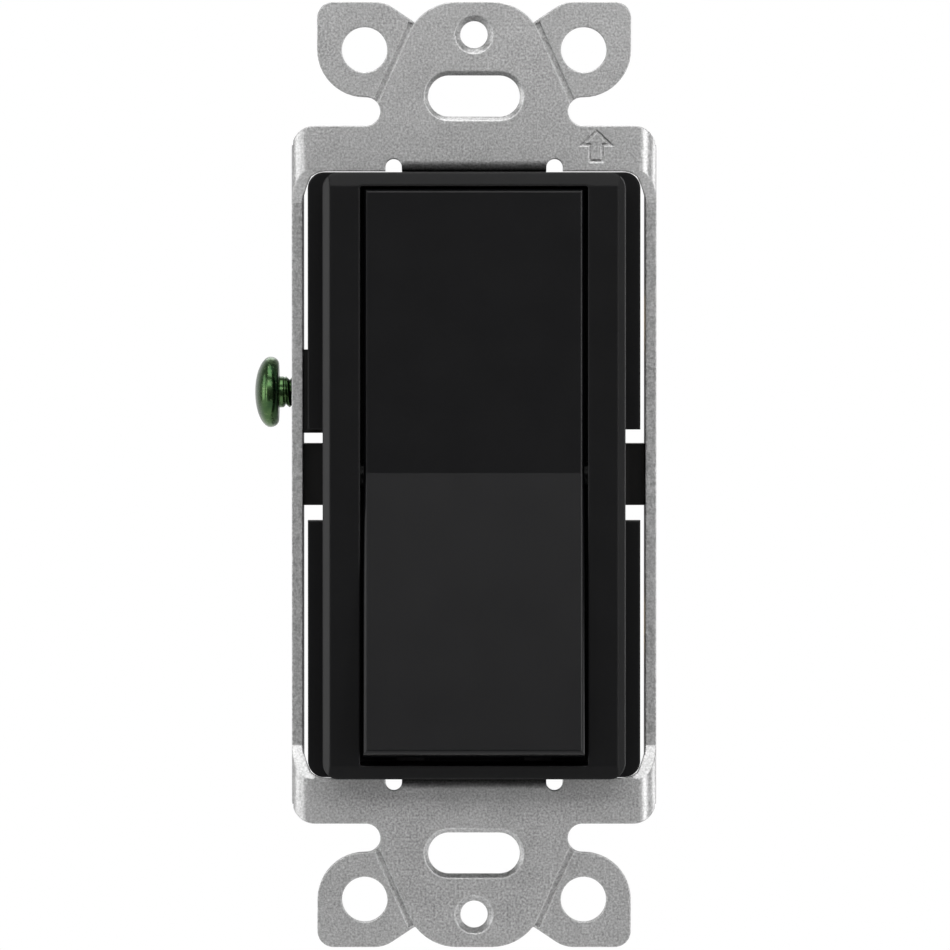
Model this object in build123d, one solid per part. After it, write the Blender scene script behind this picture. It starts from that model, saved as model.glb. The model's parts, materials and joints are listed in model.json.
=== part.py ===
from build123d import *
import math
import os

# Decorator-style rocker wall switch, without its wall plate.
# Frame: +Z up, +X right seen from the front, the front faces -Y.
# Origin: midway between the two tapped plate-screw holes, on the strap's back face.
# Lengths are millimetres, angles are degrees.

# ---- strap (yoke) ----
SHEET = 1.2
STRAP_LENGTH = 104.0
EAR_HALF_WIDTH = 17.25
PLATE_SCREW_SPACING = 96.84
PLATE_SCREW_HOLE_R = 1.5
BOX_SCREW_SPACING = 83.34
BOX_SLOT_LENGTH = 10.1
BOX_SLOT_WIDTH = 4.55
COINED_EDGE = 0.45
TAPPED_EDGE = 0.62
EAR_HOLE_SPACING_X = 24.1
EAR_HOLE_SPACING_Z = 93.5
EAR_HOLE_R = 2.5
EAR_ROUND_R = 5.2
EAR_CORNER_R = 1.8
EAR_SLOPE_X = 9.9
EAR_SLOPE_R = 3.5
TAB_HALF_WIDTH = 1.9
TAB_ROUND_R = 5.8
EAR_NOTCH_X = 6.6
EAR_NOTCH_Z = 49.8
SCORE_TOP_X = 6.95
SCORE_BOTTOM_X = 10.85
SCORE_TOP_Z = 49.7
SCORE_BOTTOM_Z = 41.0
SCORE_WIDTH = 0.6
SCORE_DEPTH = 0.4
ARROW_X = 13.45
ARROW_TIP_Z = 37.8
ARROW_SHOULDER_Z = 36.3
ARROW_BASE_Z = 34.5
ARROW_HALF_WIDTH = 1.6
ARROW_STEM_HALF = 0.68
ENGRAVE_WIDTH = 0.24
ENGRAVE_DEPTH = 0.16
SHOULDER_Z = 38.4
SHOULDER_R = 2.6
RECESS_R = 1.575
RECESS_X = 11.9
RAIL_OUTER_X = 20.1
BEND_R = 0.85
RAIL_BACK_Y = 8.4
RAIL_HALF_LENGTH = 36.3
RAIL_EDGE_Z = 29.9
RAIL_SLOPE_Z = 33.4
RAIL_RELIEF_X = 17.6
WINDOW_HALF_Z = 33.4
WINDOW_CORNER_R = 8.05
WINDOW_CORNER_Z = 29.0
WINDOW_END_R = 2.6
LIP_HALF_WIDTH = 7.95
LIP_BACK_Y = 6.0
LIP_NOTCH_X = 8.85
LIP_NOTCH_R = 0.9
LIP_NOTCH_Z = 33.85
LIP_NOTCH_DEPTH = 0.5
LIP_BEND_R = 1.1
RIM_TAPER = 45.0

# ---- front frame ----
BEZEL_WIDTH = 33.1
BEZEL_HEIGHT = 66.3
BEZEL_FRONT_Y = -7.5
BEZEL_CORNER_R = 1.75
BEZEL_BEVEL = 0.8
BEZEL_END_DROP = 0.2
BEZEL_LIP = 1.6
BEZEL_WALL = 1.55
OPENING_WIDTH = 24.9
OPENING_HEIGHT = 63.3
OPENING_CORNER_R = 0.25
FLANGE_HALF_WIDTH = 18.3
FLANGE_HALF_HEIGHT = 33.3
FLANGE_FRONT_Y = -0.9
FLANGE_CORNER_R = 1.8
FLANGE_CUTOUT_Z = 5.0
FRAME_BACK_Y = 1.2

# ---- paddle ----
THROW = 7.0
PIVOT_Y = -1.5
PADDLE_WIDTH = 24.1
PADDLE_UPPER_FACE = 31.1
PADDLE_LOWER_FACE = 30.8
PADDLE_CREASE = 5.5
PADDLE_DEPTH = 4.6
PADDLE_WALL = 1.6
PADDLE_EDGE_R = 0.5
SKIRT_BACK = 2.0
SKIRT_FOOT_Z = 9.0
TRUNNION_R = 1.5
TRUNNION_END_X = 14.6
RUNNING_GAP = 0.05
SADDLE_HALF_Z = 4.0
SADDLE_INNER_X = 12.75
LEG_HALF = 3.2
LEG_END = 16.0
LEG_CORNER_R = 0.8
WEB_HALF = 0.7
BORE_R = 2.2
BORE_START = 5.0
PLUNGER_R = 2.1
PLUNGER_START = 13.1
PLUNGER_SHOULDER = 17.0
PLUNGER_CHAMFER = 0.5
NOSE_R = 1.2
NOSE_TIP = 19.6
SPRING_R = 1.65
SPRING_WIRE_R = 0.22
SPRING_TURNS = 6
SPRING_CLEARANCE = 0.02

# ---- mid plate and bumper pads ----
MID_BACK_Y = 2.8
HOUSING_WIDTH = 32.5
HOUSING_HEIGHT = 65.8
HOUSING_CORNER_R = 2.0
LEG_SLOT_HALF_X = 4.5
LEG_SLOT_HALF_Z = 5.5
RETAINER_GAP = 0.12
RETAINER_HALF_Z = 1.4
RETAINER_X = (12.85, 14.9)
PAD_X = 7.0
PAD_Z = 29.9
PAD_SIZE = 3.0
PAD_FRONT_Y = -1.9
PAD_THICKNESS = 1.2
PAD_POST_SIZE = 4.0
PAD_POST_Z = 29.5

# ---- rear housing ----
HOUSING_BACK_Y = 26.0
HOUSING_WALL = 1.75
HOUSING_EDGE_R = 0.8
LUG_HALF_Z = 3.4
LUG_OUTER_X = 18.85
LUG_BACK_Y = 8.0
NIB_X = 19.7
NIB_HALF_Z = 1.8
NIB_Y = (3.6, 5.2)
NIB_WINDOW_GAP = 0.2
BOSS_Z = (4.6, 13.8)
BOSS_FRONT_Y = 1.4
BOSS_CLEARANCE = 0.1
SCREW_PILLAR_X = 13.75
SCREW_PILLAR_Z = 28.2
SCREW_PILLAR_INNER_X = 12.6
SCREW_PILLAR_SIZE = 2.8
HOUSING_SCREW_R = 0.9
HOUSING_SCREW_HOLE_R = 1.0
HOUSING_SCREW_HEAD_R = 1.9
HOUSING_SCREW_HEAD = 1.0
HOUSING_SCREW_BOSS_R = 2.5
COUNTERBORE_R = 2.0
HOUSING_SCREW_TIP_Y = -3.5

# ---- contacts and terminals ----
ARM_PIVOT_Y = 19.0
ARM_SWING = 21.0
ARM_THICKNESS = 1.2
ARM_HALF_WIDTH = 4.0
ARM_LOW_Z = -11.0
ARM_HIGH_Z = 8.0
ARM_PIN_R = 0.8
ARM_PIN_HALF = 5.9
ARM_CORNER_R = 1.5
CHEEK_X = (4.9, 6.1)
CHEEK_FRONT_Y = 17.9
CONTACT_Z = -9.0
CONTACT_R = 1.8
CONTACT_RIM = 0.35
CONTACT_HEIGHT = 0.9
CONTACT_CHAMFER = 0.2
FIXED_CONTACT_Y = 22.2
STRIP_FRONT_Y = 23.0
STRIP_BACK_Y = 24.2
STRIP_HALF_Z = 2.5
STRIP_SIDE_X = 9.2
STRIP_INNER_X = 5.2
CONTACT_STRIP_X = -3.0
CONTACT_STRIP_Z = (-13.6, -6.0)
TERMINAL_Z = 17.0
TERMINAL_HALF_Z = 4.4
TERMINAL_X = (11.0, 12.2)
TERMINAL_FRONT_Y = 11.0
SCREW_Y = 15.0
SCREW_R = 2.0
SCREW_TIP_X = 8.0
SCREW_TIP_CHAMFER = 0.5
SCREW_PASSAGE_R = 2.5
CLAMP_THICKNESS = 1.2
CLAMP_GAP = 0.05
CLAMP_HALF_Z = 4.0
CLAMP_Y = (10.6, 19.4)
CLAMP_HOLE_R = 2.15
CLAMP_CORNER_R = 0.8
SCREW_HEAD_R = 3.75
SCREW_HEAD = 2.6
SCREW_HEAD_EDGE_R = 0.9
SCREW_SLOT_WIDTH = 1.0
SCREW_SLOT_DEPTH = 1.1
CHAMBER_X = 10.9
CHAMBER_HALF_Z = 5.0
CHAMBER_FRONT_Y = 9.6
CHAMBER_WALL = 1.6
CHAMBER_GAP = 0.1
WIRE_X = 7.0
WIRE_HOLE_R = 1.05
WIRE_FUNNEL = 0.6
GAUGE_X = (-11.0, 1.0)
GAUGE_HALF_Z = 1.6
GAUGE_DEPTH = 0.5
STRIP_WIRE_HOLE_R = 1.25
WIRE_SPRING_HALF_X = 1.7
LEAF = 0.4
LEAF_RISE = 5.0
LEAF_BACK_Z = 4.2
LEAF_SEAT_Z = 1.6
LEAF_TIP = ((1.6, 0.3), (1.3, 0.6))
LEAF_SHOULDER = 0.6

# ---- ground screw ----
GROUND_Y = 4.7
GROUND_Z = 9.1
GROUND_R = 1.7
GROUND_HEAD_R = 3.9
GROUND_HEAD_X = (-24.25, -21.6)
GROUND_WIDEST_X = -22.55
GROUND_UNDER_R = 3.1
GROUND_TIP_X = -14.5
GROUND_TIP_CHAMFER = 0.4
GROUND_BORE_R = 2.0
GROUND_BORE_END_X = -13.5

EAR_X = EAR_HOLE_SPACING_X / 2
EAR_Z = EAR_HOLE_SPACING_Z / 2
RAIL_INNER_X = RAIL_OUTER_X - SHEET
HALF_LENGTH = STRAP_LENGTH / 2
INSIDE_X = BEZEL_WIDTH / 2 - BEZEL_WALL
LIP_BACK_FACE_Y = BEZEL_FRONT_Y + BEZEL_LIP
CLOSE = 0.01
OVERLAP = 0.2
PAST = 2.0
THROUGH_SHEET = (-SHEET - PAST, PAST)


def block(x, y, z):
    """Box between two planes on each axis."""
    centre = Pos((x[0] + x[1]) / 2, (y[0] + y[1]) / 2, (z[0] + z[1]) / 2)
    return centre * Box(x[1] - x[0], y[1] - y[0], z[1] - z[0])


def rod_x(radius, x, y, z):
    """Cylinder along X between two X planes."""
    return Pos((x[0] + x[1]) / 2, y, z) * Rot(0, 90, 0) * Cylinder(radius, x[1] - x[0])


def rod_y(radius, x, y, z):
    """Cylinder along Y between two Y planes."""
    return Pos(x, (y[0] + y[1]) / 2, z) * Rot(90, 0, 0) * Cylinder(radius, y[1] - y[0])


def prism(outline, y):
    """Outline drawn in X and Z, carried from one depth to another."""
    return Pos(0, y[1], 0) * extrude(Plane.XZ * outline, y[1] - y[0])


def side_prism(outline, half_width):
    """Outline drawn in Y and Z, carried both ways along X."""
    return extrude(Plane.YZ * outline, half_width, both=True)


def rectangle(x, z):
    """Flat rectangle between two X lines and two Z lines."""
    return Pos((x[0] + x[1]) / 2, (z[0] + z[1]) / 2) * Rectangle(x[1] - x[0], z[1] - z[0])


def both_sides(shape):
    """Shape and its mirror image in the X direction."""
    return shape + mirror(shape, Plane.YZ)


def both_ends(shape):
    """Shape and its mirror image in the Z direction."""
    return shape + mirror(shape, Plane.XY)


def turned(shape, angle, pivot_y):
    """Shape drawn about its pivot, turned about X and put in its place."""
    return Pos(0, pivot_y, 0) * Rot(angle, 0, 0) * shape


def corners(pattern_x, pattern_z):
    """Four places at the corners of a rectangle about the origin."""
    return [(x, z) for x in (-pattern_x, pattern_x) for z in (-pattern_z, pattern_z)]


def strap_end_outline():
    """Right half of the strap's upper end, beyond the shoulders."""
    tab = rectangle((0, TAB_HALF_WIDTH), (SHOULDER_Z, HALF_LENGTH))
    tab += Pos(TAB_HALF_WIDTH, HALF_LENGTH - TAB_ROUND_R) * Circle(TAB_ROUND_R)
    tab &= rectangle((0, EAR_HALF_WIDTH), (SHOULDER_Z, HALF_LENGTH))
    web = Polygon(
        (0, SHOULDER_Z), (EAR_X, SHOULDER_Z), (EAR_X, EAR_Z), (EAR_NOTCH_X, EAR_NOTCH_Z), (0, EAR_NOTCH_Z),
        align=None,
    )
    ear_corner = rectangle((EAR_X, EAR_HALF_WIDTH), (EAR_Z, HALF_LENGTH))
    ear_corner = fillet(ear_corner.vertices().sort_by(lambda v: v.X + v.Y)[-1], EAR_CORNER_R)
    ear_slope = Polygon(
        (EAR_NOTCH_X, EAR_NOTCH_Z), (EAR_NOTCH_X, EAR_Z), (EAR_X, EAR_Z), (EAR_X, HALF_LENGTH),
        (EAR_SLOPE_X, HALF_LENGTH),
        align=None,
    )
    slope_corner = ear_slope.vertices().filter_by(lambda v: abs(v.X - EAR_SLOPE_X) < CLOSE)
    ear_slope = fillet(slope_corner, EAR_SLOPE_R)
    ear = (Pos(EAR_X, EAR_Z) * Circle(EAR_ROUND_R) & rectangle((EAR_X, EAR_HALF_WIDTH), (0, EAR_Z)))
    ear += ear_corner + ear_slope
    recess = Pos(RECESS_X, SHOULDER_Z + RECESS_R) * Circle(RECESS_R)
    recess += rectangle((RECESS_X, RAIL_OUTER_X), (SHOULDER_Z, SHOULDER_Z + 2 * RECESS_R))
    return tab + web + ear - recess


def strap_outline():
    """Whole strap seen from the front, with its window and relief notches."""
    middle = RectangleRounded(2 * RAIL_OUTER_X, 2 * SHOULDER_Z, SHOULDER_R)
    end = strap_end_outline()
    end += mirror(end, Plane.YZ)
    outline = middle + end + mirror(end, Plane.XZ)
    window = RectangleRounded(2 * RAIL_INNER_X, 2 * (WINDOW_CORNER_Z + WINDOW_CORNER_R), WINDOW_CORNER_R)
    outline -= window & RectangleRounded(2 * RAIL_INNER_X, 2 * WINDOW_HALF_Z, WINDOW_END_R)
    for x, z in corners(LIP_NOTCH_X, LIP_NOTCH_Z):
        outline -= Pos(x, z) * Circle(LIP_NOTCH_R)
        outline -= Pos(x, math.copysign(WINDOW_HALF_Z, z)) * Rectangle(2 * LIP_NOTCH_R, 2 * LIP_NOTCH_DEPTH)
    return outline


def channel():
    """Sheet bent back along both long edges, before its outline is cut."""
    bend_x = RAIL_OUTER_X - BEND_R - SHEET
    half = Rectangle(bend_x, SHEET, align=(Align.MIN, Align.MAX))
    bend = Pos(bend_x, BEND_R) * (Circle(BEND_R + SHEET) - Circle(BEND_R))
    quarter = Rectangle(BEND_R + SHEET, BEND_R + SHEET, align=(Align.MIN, Align.MAX))
    half += bend & Pos(bend_x, BEND_R) * quarter
    leg_x = (RAIL_INNER_X + RAIL_OUTER_X) / 2
    half += Pos(leg_x, (BEND_R + RAIL_BACK_Y) / 2) * Rectangle(SHEET, RAIL_BACK_Y - BEND_R)
    profile = half + mirror(half, Plane.YZ)
    return extrude(Plane.XY * profile, HALF_LENGTH, both=True)


def rail_relief():
    """Space in front of the rails, where the sheet is cut back to the bent legs."""
    outline = Polygon(
        (BEND_R, -RAIL_EDGE_Z), (BEND_R, RAIL_EDGE_Z), (-SHEET, RAIL_SLOPE_Z),
        (-SHEET - PAST, RAIL_SLOPE_Z), (-SHEET - PAST, -RAIL_SLOPE_Z), (-SHEET, -RAIL_SLOPE_Z),
        align=None,
    )
    return side_prism(outline, RAIL_OUTER_X + PAST) - block(
        (-RAIL_RELIEF_X, RAIL_RELIEF_X), (-SHEET - 2 * PAST, BEND_R + PAST), (-HALF_LENGTH, HALF_LENGTH)
    )


def yoke():
    """Stamped strap: end plates, plaster ears, rails bent back and bent lips."""
    body = channel() & prism(strap_outline(), (-SHEET - PAST, RAIL_BACK_Y + PAST))
    body -= rail_relief()
    past_rail = (RAIL_INNER_X - PAST, RAIL_OUTER_X + PAST)
    trim = block(past_rail, (0, RAIL_BACK_Y + PAST), (RAIL_HALF_LENGTH, HALF_LENGTH))
    body -= both_ends(both_sides(trim))

    lip_x = (-LIP_HALF_WIDTH, LIP_HALF_WIDTH)
    lip_z = (WINDOW_HALF_Z, WINDOW_HALF_Z + SHEET)
    body -= both_ends(block(lip_x, THROUGH_SHEET, lip_z))
    lip = block(lip_x, (-SHEET, LIP_BACK_Y), lip_z)
    lip = fillet(lip.edges().filter_by(Axis.X).group_by(Axis.Y)[0].sort_by(Axis.Z)[0], LIP_BEND_R)
    body += both_ends(lip)

    cuts = [
        rod_y(PLATE_SCREW_HOLE_R, 0, THROUGH_SHEET, PLATE_SCREW_SPACING / 2),
        rod_y(PLATE_SCREW_HOLE_R, 0, THROUGH_SHEET, -PLATE_SCREW_SPACING / 2),
    ]
    for x, z in corners(EAR_X, EAR_Z):
        cuts.append(rod_y(EAR_HOLE_R, x, THROUGH_SHEET, z))
    for side in (-1, 1):
        slot = Pos(0, side * BOX_SCREW_SPACING / 2) * SlotOverall(BOX_SLOT_LENGTH, BOX_SLOT_WIDTH)
        cuts.append(prism(slot, THROUGH_SHEET))
    for cutter in cuts:
        body -= cutter
    for cutter in coined_edges() + score_grooves() + [engraved_arrow()]:
        body -= cutter

    window = block(
        past_rail,
        (NIB_Y[0] - NIB_WINDOW_GAP, NIB_Y[1] + NIB_WINDOW_GAP),
        (-NIB_HALF_Z - NIB_WINDOW_GAP, NIB_HALF_Z + NIB_WINDOW_GAP),
    )
    body -= both_sides(window)
    body -= rod_x(GROUND_R + RUNNING_GAP, (-RAIL_OUTER_X - PAST, -RAIL_INNER_X + PAST), GROUND_Y, GROUND_Z)
    return body


def coined_edges():
    """Tapered cutters that leave a sloped rim round the slots and tapped holes."""
    cutters = []
    for side in (-1, 1):
        slot = Pos(0, side * BOX_SCREW_SPACING / 2) * SlotOverall(
            BOX_SLOT_LENGTH + 2 * COINED_EDGE, BOX_SLOT_WIDTH + 2 * COINED_EDGE
        )
        hole = Pos(0, side * PLATE_SCREW_SPACING / 2) * Circle(PLATE_SCREW_HOLE_R + TAPPED_EDGE)
        for outline, depth in ((slot, COINED_EDGE), (hole, TAPPED_EDGE)):
            rim = extrude(Plane.XZ * outline, -depth, taper=RIM_TAPER)
            cutters.append(Pos(0, -SHEET, 0) * rim)
    return cutters


def arrow_outline(grow):
    """Upward arrow, made larger or smaller by an even margin."""
    arrow = Polygon(
        (0, ARROW_TIP_Z), (-ARROW_HALF_WIDTH, ARROW_SHOULDER_Z), (-ARROW_STEM_HALF, ARROW_SHOULDER_Z),
        (-ARROW_STEM_HALF, ARROW_BASE_Z), (ARROW_STEM_HALF, ARROW_BASE_Z),
        (ARROW_STEM_HALF, ARROW_SHOULDER_Z), (ARROW_HALF_WIDTH, ARROW_SHOULDER_Z),
        align=None,
    )
    return Pos(ARROW_X, 0) * offset(arrow, grow, kind=Kind.INTERSECTION)


def engraved_arrow():
    """Cutter for the outline of the arrow that marks which end goes up."""
    stroke = arrow_outline(ENGRAVE_WIDTH / 2) - arrow_outline(-ENGRAVE_WIDTH / 2)
    return prism(stroke, (-SHEET - PAST, -SHEET + ENGRAVE_DEPTH))


def score_grooves():
    """Narrow grooves along which the four plaster ears break off."""
    rise = SCORE_TOP_Z - SCORE_BOTTOM_Z
    run = SCORE_BOTTOM_X - SCORE_TOP_X
    lean = math.degrees(math.atan2(run, rise))
    groove = Rot(0, -lean, 0) * Box(SCORE_WIDTH, 2 * SCORE_DEPTH, math.hypot(run, rise))
    centre = Pos((SCORE_BOTTOM_X + SCORE_TOP_X) / 2, -SHEET, (SCORE_BOTTOM_Z + SCORE_TOP_Z) / 2)
    right = centre * groove
    left = mirror(right, Plane.YZ)
    return [right, left, mirror(right, Plane.XY), mirror(left, Plane.XY)]


def front_frame():
    """Raised bezel, the flange beside it and the saddles for the paddle's pivots."""
    outer = prism(RectangleRounded(BEZEL_WIDTH, BEZEL_HEIGHT, BEZEL_CORNER_R), (BEZEL_FRONT_Y, FRAME_BACK_Y))
    section = Pos(0, BEZEL_FRONT_Y) * Rectangle(BEZEL_WIDTH, BEZEL_HEIGHT, align=(Align.CENTER, Align.MIN))
    section = chamfer(section.vertices().group_by(Axis.Y)[0], BEZEL_BEVEL)
    outer &= extrude(Plane.XY * section, BEZEL_HEIGHT, both=True)
    top, back = BEZEL_HEIGHT / 2, BEZEL_FRONT_Y + BEZEL_END_DROP
    outer &= side_prism(Polygon(
        (BEZEL_FRONT_Y, -OPENING_HEIGHT / 2), (BEZEL_FRONT_Y, OPENING_HEIGHT / 2), (back, top),
        (FRAME_BACK_Y, top), (FRAME_BACK_Y, -top), (back, -top),
        align=None,
    ), BEZEL_WIDTH)
    flange = RectangleRounded(2 * FLANGE_HALF_WIDTH, 2 * FLANGE_HALF_HEIGHT, FLANGE_CORNER_R)
    flange -= both_sides_flat(rectangle(
        (BEZEL_WIDTH / 2, FLANGE_HALF_WIDTH + PAST), (-FLANGE_CUTOUT_Z, FLANGE_CUTOUT_Z)
    ))
    body = outer + prism(flange, (FLANGE_FRONT_Y, FRAME_BACK_Y))
    opening = RectangleRounded(OPENING_WIDTH, OPENING_HEIGHT, OPENING_CORNER_R)
    body -= prism(opening, (BEZEL_FRONT_Y - PAST, FRAME_BACK_Y + PAST))
    body -= prism(Rectangle(2 * INSIDE_X, OPENING_HEIGHT), (LIP_BACK_FACE_Y, FRAME_BACK_Y + PAST))
    saddle_z = (-SADDLE_HALF_Z, SADDLE_HALF_Z)
    body += both_sides(block((SADDLE_INNER_X, INSIDE_X), (LIP_BACK_FACE_Y, FRAME_BACK_Y), saddle_z))
    hole_r = TRUNNION_R + RUNNING_GAP
    body -= rod_x(hole_r, (-INSIDE_X, INSIDE_X), PIVOT_Y, 0)
    body -= block((-INSIDE_X, INSIDE_X), (PIVOT_Y, FRAME_BACK_Y + PAST), (-hole_r, hole_r))
    for x, z in corners(SCREW_PILLAR_X, SCREW_PILLAR_Z):
        half = SCREW_PILLAR_SIZE / 2
        inner_x = math.copysign(SCREW_PILLAR_INNER_X, x)
        wall_x = math.copysign(INSIDE_X + OVERLAP, x)
        body += block(
            sorted((inner_x, wall_x)), (LIP_BACK_FACE_Y - OVERLAP, FRAME_BACK_Y), (z - half, z + half)
        )
    for x, z in corners(SCREW_PILLAR_X, SCREW_PILLAR_Z):
        body -= rod_y(HOUSING_SCREW_R, x, (HOUSING_SCREW_TIP_Y, FRAME_BACK_Y + PAST), z)
    return body


def both_sides_flat(sketch):
    """Flat outline and its mirror image in X."""
    return sketch + mirror(sketch, Plane.YZ)


def paddle_half_profile(face, inset):
    """Half of the paddle's side profile about its pivot, in Y and Z, for one length of face."""
    tilt = math.radians(THROW / 2)
    slope = (-math.sin(tilt), math.cos(tilt))
    inward = (math.cos(tilt), math.sin(tilt))
    length = face - inset
    crease = -PADDLE_CREASE + inset
    top_front = (crease + length * slope[0], length * slope[1])
    depth = PADDLE_DEPTH - inset
    top_back = (top_front[0] + depth * inward[0], top_front[1] + depth * inward[1])
    return [
        (crease, 0), top_front, top_back,
        (SKIRT_BACK, SKIRT_FOOT_Z), (SKIRT_BACK, 0),
    ]


def paddle_solid(half_width, inset):
    """Paddle's full profile, or its inner space when inset."""
    upper = Polygon(*paddle_half_profile(PADDLE_UPPER_FACE, inset), align=None)
    lower = Polygon(*paddle_half_profile(PADDLE_LOWER_FACE, inset), align=None)
    return side_prism(upper + mirror(lower, Plane.XZ), half_width)


def rocker_paddle():
    """Paddle shell with its pivots and the bored leg behind it."""
    body = paddle_solid(PADDLE_WIDTH / 2, 0)
    rim = body.edges().filter_by(lambda e: e.center().Y < -PADDLE_CREASE - CLOSE)
    sides = rim.filter_by(lambda e: abs(e.center().X) > PADDLE_WIDTH / 2 - CLOSE)
    ends = rim.filter_by(Axis.X).filter_by(lambda e: abs(e.center().Z) > PADDLE_LOWER_FACE / 2)
    body = fillet(sides + ends, PADDLE_EDGE_R)
    inner_x = PADDLE_WIDTH / 2 - PADDLE_WALL
    body -= paddle_solid(inner_x, PADDLE_WALL)
    body += rod_x(TRUNNION_R, (-TRUNNION_END_X, -inner_x), 0, 0)
    body += rod_x(TRUNNION_R, (inner_x, TRUNNION_END_X), 0, 0)
    leg = block((-LEG_HALF, LEG_HALF), (-PADDLE_CREASE + PADDLE_WALL / 2, LEG_END), (-LEG_HALF, LEG_HALF))
    body += fillet(leg.edges().filter_by(Axis.Y), LEG_CORNER_R)
    body += block((-inner_x, inner_x), (-PADDLE_CREASE + PADDLE_WALL / 2, SKIRT_BACK), (-WEB_HALF, WEB_HALF))
    body -= rod_y(BORE_R, 0, (BORE_START, LEG_END + PAST), 0)
    return turned(body, -THROW / 2, PIVOT_Y)


def toggle_spring():
    """Coil that pushes the plunger out of the leg."""
    start = BORE_START + SPRING_WIRE_R + SPRING_CLEARANCE
    length = PLUNGER_START - BORE_START - 2 * (SPRING_WIRE_R + SPRING_CLEARANCE)
    path = Helix(length / SPRING_TURNS, length, SPRING_R)
    section = Plane(path @ 0, z_dir=path % 0) * Circle(SPRING_WIRE_R)
    coil = sweep(section, path, is_frenet=True)
    return turned(Pos(0, start, 0) * Rot(-90, 0, 0) * coil, -THROW / 2, PIVOT_Y)


def spring_plunger():
    """Plunger that slides in the leg and presses its round nose on the arm."""
    body = rod_y(PLUNGER_R, 0, (PLUNGER_START, PLUNGER_SHOULDER), 0)
    body = chamfer(body.edges().sort_by(Axis.Y)[-1], PLUNGER_CHAMFER)
    body += rod_y(NOSE_R, 0, (PLUNGER_SHOULDER, NOSE_TIP - NOSE_R), 0)
    body += Pos(0, NOSE_TIP - NOSE_R, 0) * Sphere(NOSE_R)
    return turned(body, -THROW / 2, PIVOT_Y)


def mid_plate():
    """Plate behind the paddle with the pivot retainers and the pad posts."""
    outline = RectangleRounded(HOUSING_WIDTH, HOUSING_HEIGHT, HOUSING_CORNER_R)
    outline -= Rectangle(2 * LEG_SLOT_HALF_X, 2 * LEG_SLOT_HALF_Z)
    for x, z in corners(SCREW_PILLAR_X, SCREW_PILLAR_Z):
        outline -= Pos(x, z) * Circle(HOUSING_SCREW_HOLE_R)
    body = prism(outline, (FRAME_BACK_Y, MID_BACK_Y))
    retainer_y = (PIVOT_Y + TRUNNION_R + RETAINER_GAP, FRAME_BACK_Y)
    body += both_sides(block(RETAINER_X, retainer_y, (-RETAINER_HALF_Z, RETAINER_HALF_Z)))
    half = PAD_POST_SIZE / 2
    for x, z in corners(PAD_X, PAD_POST_Z):
        body += block((x - half, x + half), (PAD_FRONT_Y + PAD_THICKNESS, FRAME_BACK_Y), (z - half, z + half))
    return body


def bumper_pads():
    """Four soft pads under the paddle's ends."""
    half = PAD_SIZE / 2
    pads = [
        block((x - half, x + half), (PAD_FRONT_Y, PAD_FRONT_Y + PAD_THICKNESS), (z - half, z + half))
        for x, z in corners(PAD_X, PAD_Z)
    ]
    return Compound(children=pads)


def terminal_chamber(side):
    """Space open to the right for one terminal, with its strip and screw passages."""
    z = side * TERMINAL_Z
    room = block(
        (CHAMBER_X, HOUSING_WIDTH / 2 + PAST),
        (CHAMBER_FRONT_Y, STRIP_BACK_Y),
        (z - CHAMBER_HALF_Z, z + CHAMBER_HALF_Z),
    )
    passage = block(
        (WIRE_X, CHAMBER_X + CHAMBER_GAP),
        (STRIP_FRONT_Y - CHAMBER_GAP, STRIP_BACK_Y),
        (z - TERMINAL_HALF_Z - CHAMBER_GAP, z + TERMINAL_HALF_Z + CHAMBER_GAP),
    )
    return room + passage + rod_x(SCREW_PASSAGE_R, (SCREW_TIP_X - PAST, CHAMBER_X + PAST), SCREW_Y, z)


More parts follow.
